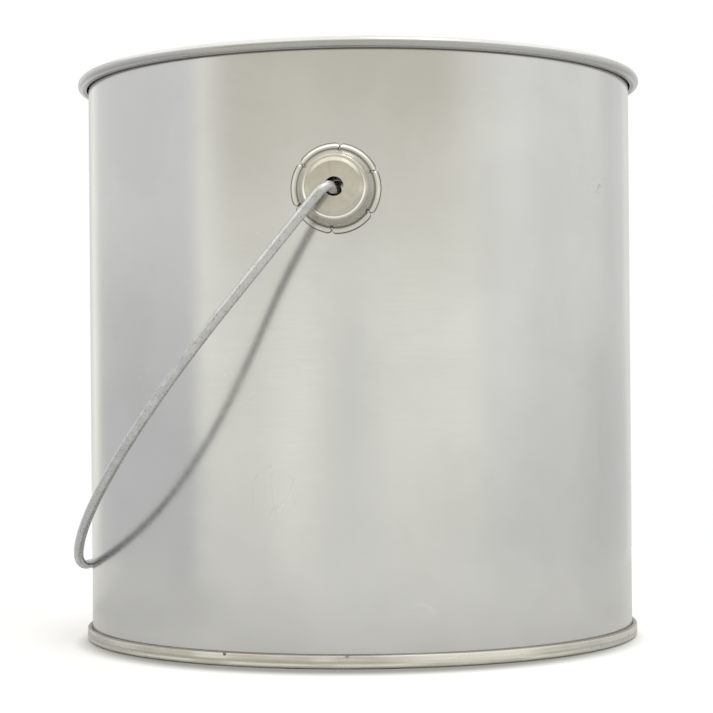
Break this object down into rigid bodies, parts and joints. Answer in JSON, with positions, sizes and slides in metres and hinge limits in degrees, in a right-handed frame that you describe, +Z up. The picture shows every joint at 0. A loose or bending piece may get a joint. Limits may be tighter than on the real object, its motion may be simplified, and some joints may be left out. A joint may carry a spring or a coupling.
{
  "type": "paint can",
  "caption": "Round tinplate paint can with a press-in lid, a rolled rim, a double-seamed bottom and a wire bail in stamped ears.",
  "frame": {"origin": "on the can's axis, in the plane that the bottom seam stands on", "axes": "+Z up; the ears lie on the Y axis; the bail hangs down on the -X side"},
  "size_m": [0.1453, 0.1658, 0.1433],
  "materials": {
    "body_tinplate": "bright rolled tinplate, satin",
    "bottom_tinplate": "tinplate, satin",
    "ring_tinplate": "tinplate, satin",
    "lid_tinplate": "tinplate, satin",
    "ear_tinplate": "stamped tinplate, satin",
    "bail_steel": "galvanised wire, satin",
    "seam_compound": "set sealing compound, matt"
  },
  "bodies": {
    "can": {"can_body": "body_tinplate", "bottom_end": "bottom_tinplate", "bottom_seam_compound": "seam_compound", "friction_ring": "ring_tinplate", "top_seam_compound": "seam_compound", "front_ear": "ear_tinplate", "rear_ear": "ear_tinplate"},
    "bail": {"bail_wire": "bail_steel"},
    "lid": {"lid": "lid_tinplate"}
  },
  "joints": [
    {"name": "bail_swing", "type": "hinge", "parent": "can", "child": "bail", "pos_m": [0, 0, 0.10825], "axis": [0, 1, 0], "range_deg": [0, 283]},
    {"name": "lid_lift", "type": "slide", "parent": "can", "child": "lid", "axis": [0, 0, 1], "range_m": [0, 0.04]}
  ]
}
